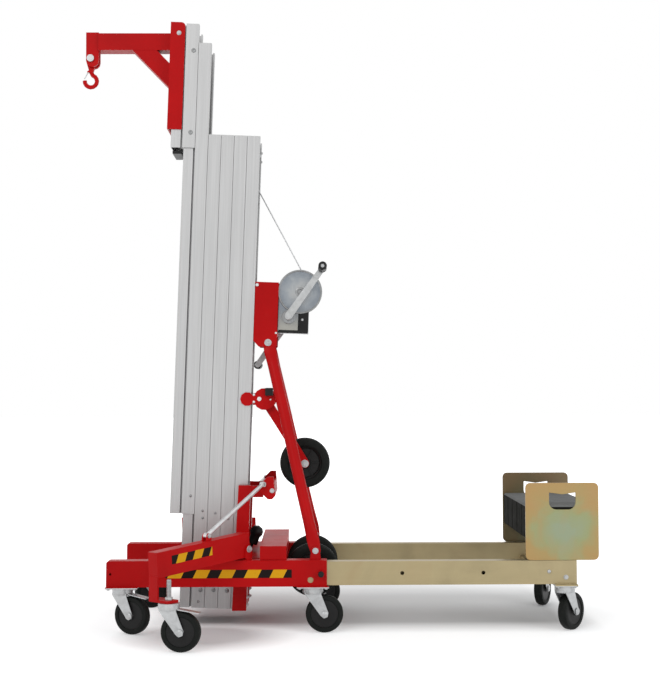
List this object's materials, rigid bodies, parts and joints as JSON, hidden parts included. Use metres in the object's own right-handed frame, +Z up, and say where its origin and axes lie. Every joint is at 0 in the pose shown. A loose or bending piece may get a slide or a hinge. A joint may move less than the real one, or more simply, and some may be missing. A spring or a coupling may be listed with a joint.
{
  "type": "manual stacker",
  "caption": "Hand-operated stacker with a telescopic mast, a boom with a load hook, a cranked winch, folding outriggers and a counterweight on a sliding rear extension.",
  "frame": {"origin": "on the floor, below the centre of the bounding box", "axes": "+Z up; -X towards the boom and the hook, +X towards the counterweight; -Y the side of the gear cover"},
  "size_m": [1.7538, 1.1962, 2.0805],
  "materials": {
    "red_paint": "gloss powder coat",
    "aluminium": "anodised extrusion",
    "zinc": "bright zinc",
    "yellow_zinc": "yellow zinc",
    "black_plastic": "fine texture",
    "black_rubber": "matte",
    "black_iron": "black paint",
    "steel_rope": "stranded wire"
  },
  "bodies": {
    "chassis": {"base_rail_near": "red_paint", "base_rail_far": "red_paint", "mast_mount": "red_paint", "mast_stage_1": "aluminium", "winch_bracket": "red_paint", "winch_frame": "zinc", "gear_cover": "zinc", "strut_near": "red_paint", "strut_far": "red_paint", "wheel_bracket": "red_paint", "rear_axle": "zinc", "wire_rope": "steel_rope"},
    "extension": {"extension_rail_near": "yellow_zinc", "extension_rail_far": "yellow_zinc"},
    "counterweight": {"weight_plate_near": "yellow_zinc", "weight_plate_far": "yellow_zinc", "weight_stack": "black_iron"},
    "stage_2": {"mast_stage_2": "aluminium"},
    "stage_3": {"mast_stage_3": "aluminium"},
    "stage_4": {"mast_stage_4": "aluminium"},
    "stage_5": {"mast_stage_5": "aluminium"},
    "carriage": {"carriage": "aluminium", "boom_frame": "red_paint", "hook_pin": "zinc"},
    "hook": {"load_hook": "red_paint"},
    "latch": {"hook_latch": "zinc"},
    "drum": {"cable_drum": "zinc"},
    "crank": {"crank_shaft": "zinc", "crank_arm_near": "zinc", "crank_arm_far": "zinc"},
    "grip_near": {"crank_grip_near": "black_plastic"},
    "grip_far": {"crank_grip_far": "black_plastic"},
    "sheave": {"head_sheave": "zinc"},
    "loading_arm": {"wheel_arm": "red_paint"},
    "loading_wheel": {"loading_wheel": "black_rubber"},
    "transport_wheel_near": {"rear_wheel_near": "black_rubber"},
    "transport_wheel_far": {"rear_wheel_far": "black_rubber"},
    "outrigger_near": {"outrigger_near": "red_paint"},
    "outrigger_far": {"outrigger_far": "red_paint"},
    "brace_near": {"brace_rod_near": "zinc"},
    "brace_far": {"brace_rod_far": "zinc"},
    "lock_pin_near": {"lock_pin_near": "black_plastic"},
    "lock_pin_far": {"lock_pin_far": "black_plastic"},
    "mast_lock": {"foot_grip": "black_plastic"},
    "fork_front_near": {"caster_fork_front_near": "zinc"},
    "wheel_front_near": {"caster_wheel_front_near": "black_rubber"},
    "fork_front_far": {"caster_fork_front_far": "zinc"},
    "wheel_front_far": {"caster_wheel_front_far": "black_rubber"},
    "fork_middle_near": {"caster_fork_middle_near": "zinc"},
    "wheel_middle_near": {"caster_wheel_middle_near": "black_rubber"},
    "fork_middle_far": {"caster_fork_middle_far": "zinc"},
    "wheel_middle_far": {"caster_wheel_middle_far": "black_rubber"},
    "fork_rear_near": {"caster_fork_rear_near": "zinc"},
    "wheel_rear_near": {"caster_wheel_rear_near": "black_rubber"},
    "fork_rear_far": {"caster_fork_rear_far": "zinc"},
    "wheel_rear_far": {"caster_wheel_rear_far": "black_rubber"},
    "fork_outrigger_near": {"caster_fork_outrigger_near": "zinc"},
    "wheel_outrigger_near": {"caster_wheel_outrigger_near": "black_rubber"},
    "fork_outrigger_far": {"caster_fork_outrigger_far": "zinc"},
    "wheel_outrigger_far": {"caster_wheel_outrigger_far": "black_rubber"}
  },
  "joints": [
    {"name": "swivel_front_near", "type": "hinge", "parent": "chassis", "child": "fork_front_near", "pos_m": [-0.697, -0.25, 0.14], "axis": [0, 0, 1], "continuous": true},
    {"name": "spin_front_near", "type": "hinge", "parent": "fork_front_near", "child": "wheel_front_near", "pos_m": [-0.66256, -0.26606, 0.06228], "axis": [0.4226, 0.9063, 0], "continuous": true},
    {"name": "swivel_front_far", "type": "hinge", "parent": "chassis", "child": "fork_front_far", "pos_m": [-0.697, 0.25, 0.14], "axis": [0, 0, 1], "continuous": true},
    {"name": "spin_front_far", "type": "hinge", "parent": "fork_front_far", "child": "wheel_front_far", "pos_m": [-0.66256, 0.26606, 0.06228], "axis": [-0.4226, 0.9063, 0], "continuous": true},
    {"name": "swivel_middle_near", "type": "hinge", "parent": "chassis", "child": "fork_middle_near", "pos_m": [-0.069, -0.25, 0.14], "axis": [0, 0, 1], "continuous": true},
    {"name": "spin_middle_near", "type": "hinge", "parent": "fork_middle_near", "child": "wheel_middle_near", "pos_m": [-0.031, -0.25, 0.06228], "axis": [0, 1, 0], "continuous": true},
    {"name": "swivel_middle_far", "type": "hinge", "parent": "chassis", "child": "fork_middle_far", "pos_m": [-0.069, 0.25, 0.14], "axis": [0, 0, 1], "continuous": true},
    {"name": "spin_middle_far", "type": "hinge", "parent": "fork_middle_far", "child": "wheel_middle_far", "pos_m": [-0.031, 0.25, 0.06228], "axis": [0, 1, 0], "continuous": true},
    {"name": "swivel_rear_near", "type": "hinge", "parent": "extension", "child": "fork_rear_near", "pos_m": [0.766, -0.25, 0.14], "axis": [0, 0, 1], "continuous": true},
    {"name": "spin_rear_near", "type": "hinge", "parent": "fork_rear_near", "child": "wheel_rear_near", "pos_m": [0.79143, -0.22176, 0.06228], "axis": [-0.7431, 0.6691, 0], "continuous": true},
    {"name": "swivel_rear_far", "type": "hinge", "parent": "extension", "child": "fork_rear_far", "pos_m": [0.766, 0.25, 0.14], "axis": [0, 0, 1], "continuous": true},
    {"name": "spin_rear_far", "type": "hinge", "parent": "fork_rear_far", "child": "wheel_rear_far", "pos_m": [0.78325, 0.28386, 0.06228], "axis": [-0.891, 0.454, 0], "continuous": true},
    {"name": "swivel_outrigger_near", "type": "hinge", "parent": "outrigger_near", "child": "fork_outrigger_near", "pos_m": [-0.5113, -0.5645, 0.14], "axis": [0, 0, 1], "continuous": true},
    {"name": "spin_outrigger_near", "type": "hinge", "parent": "fork_outrigger_near", "child": "wheel_outrigger_near", "pos_m": [-0.47367, -0.56979, 0.06228], "axis": [0.1392, 0.9903, 0], "continuous": true},
    {"name": "swivel_outrigger_far", "type": "hinge", "parent": "outrigger_far", "child": "fork_outrigger_far", "pos_m": [-0.5113, 0.5645, 0.14], "axis": [0, 0, 1], "continuous": true},
    {"name": "spin_outrigger_far", "type": "hinge", "parent": "fork_outrigger_far", "child": "wheel_outrigger_far", "pos_m": [-0.47367, 0.56979, 0.06228], "axis": [-0.1392, 0.9903, 0], "continuous": true},
    {"name": "loading_arm_swing", "type": "hinge", "parent": "chassis", "child": "loading_arm", "pos_m": [-0.2341, 0, 0.7687], "axis": [0, -1, 0], "range_deg": [0, 60]},
    {"name": "loading_wheel_spin", "type": "hinge", "parent": "loading_arm", "child": "loading_wheel", "pos_m": [-0.0956, 0, 0.5454], "axis": [0, 1, 0], "continuous": true},
    {"name": "transport_spin_near", "type": "hinge", "parent": "chassis", "child": "transport_wheel_near", "pos_m": [-0.0695, -0.125, 0.19], "axis": [0, 1, 0], "continuous": true},
    {"name": "transport_spin_far", "type": "hinge", "parent": "chassis", "child": "transport_wheel_far", "pos_m": [-0.0695, 0.125, 0.19], "axis": [0, 1, 0], "continuous": true},
    {"name": "outrigger_fold_near", "type": "hinge", "parent": "chassis", "child": "outrigger_near", "pos_m": [-0.299, -0.25, 0.2768], "axis": [-0.7559, 0.6547, 0], "range_deg": [0, 70]},
    {"name": "brace_fold_near", "type": "hinge", "parent": "outrigger_near", "child": "brace_near", "pos_m": [-0.4103, -0.3785, 0.3338], "axis": [0.7559, -0.6547, 0], "range_deg": [0, 140]},
    {"name": "outrigger_fold_far", "type": "hinge", "parent": "chassis", "child": "outrigger_far", "pos_m": [-0.299, 0.25, 0.2768], "axis": [0.7559, 0.6547, 0], "range_deg": [0, 70]},
    {"name": "brace_fold_far", "type": "hinge", "parent": "outrigger_far", "child": "brace_far", "pos_m": [-0.4103, 0.3785, 0.3338], "axis": [-0.7559, -0.6547, 0], "range_deg": [0, 140]},
    {"name": "stage_2_lift", "type": "slide", "parent": "chassis", "child": "stage_2", "axis": [0.0366, 0, 0.9993], "range_m": [0, 1.2]},
    {"name": "stage_3_lift", "type": "slide", "parent": "stage_2", "child": "stage_3", "axis": [0.0366, 0, 0.9993], "range_m": [0, 1.2]},
    {"name": "stage_4_lift", "type": "slide", "parent": "stage_3", "child": "stage_4", "axis": [0.0366, 0, 0.9993], "range_m": [0, 1.2]},
    {"name": "stage_5_lift", "type": "slide", "parent": "stage_4", "child": "stage_5", "axis": [0.0366, 0, 0.9993], "range_m": [-0.319, 0.88]},
    {"name": "carriage_lift", "type": "slide", "parent": "stage_5", "child": "carriage", "axis": [0.0366, 0, 0.9993], "range_m": [-1.2, 0]},
    {"name": "hook_swing", "type": "hinge", "parent": "carriage", "child": "hook", "pos_m": [-0.8457, 0, 1.9665], "axis": [0, 1, 0], "range_deg": [-60, 60]},
    {"name": "latch_swing", "type": "hinge", "parent": "hook", "child": "latch", "pos_m": [-0.8572, 0, 1.9225], "axis": [0, -1, 0], "range_deg": [0, 35], "stiffness_Nm_per_rad": 0.02, "springref_deg": -17.19},
    {"name": "drum_spin", "type": "hinge", "parent": "chassis", "child": "drum", "pos_m": [-0.11102, 0, 1.13935], "axis": [0, 1, 0], "continuous": true},
    {"name": "crank_spin", "type": "hinge", "parent": "chassis", "child": "crank", "pos_m": [-0.15002, 0, 1.05252], "axis": [0, 1, 0], "continuous": true},
    {"name": "sheave_spin", "type": "hinge", "parent": "chassis", "child": "sheave", "pos_m": [-0.27415, 0, 1.49877], "axis": [0, 1, 0], "continuous": true},
    {"name": "grip_spin_near", "type": "hinge", "parent": "crank", "child": "grip_near", "pos_m": [-0.0339, -0.1823, 1.2153], "axis": [0, 1, 0], "continuous": true},
    {"name": "grip_spin_far", "type": "hinge", "parent": "crank", "child": "grip_far", "pos_m": [-0.2662, 0.1823, 0.8897], "axis": [0, 1, 0], "continuous": true},
    {"name": "extension_slide", "type": "slide", "parent": "chassis", "child": "extension", "axis": [1, 0, 0], "range_m": [-0.536, 0]},
    {"name": "counterweight_lift", "type": "slide", "parent": "extension", "child": "counterweight", "axis": [0, 0, 1], "range_m": [0, 0.25]},
    {"name": "lock_pin_slide_near", "type": "slide", "parent": "chassis", "child": "lock_pin_near", "axis": [0, -1, 0], "range_m": [-0.012, 0]},
    {"name": "lock_pin_slide_far", "type": "slide", "parent": "chassis", "child": "lock_pin_far", "axis": [0, 1, 0], "range_m": [-0.012, 0]},
    {"name": "mast_lock_pull", "type": "slide", "parent": "chassis", "child": "mast_lock", "axis": [0.342, 0, 0.9397], "range_m": [0, 0.01]}
  ],
  "couplings": [
    {"joint": "crank_spin", "follows": "drum_spin", "ratio": -2.4},
    {"joint": "sheave_spin", "follows": "drum_spin", "ratio": 2.393},
    {"joint": "brace_fold_near", "follows": "outrigger_fold_near", "ratio": 2},
    {"joint": "brace_fold_far", "follows": "outrigger_fold_far", "ratio": 2}
  ]
}
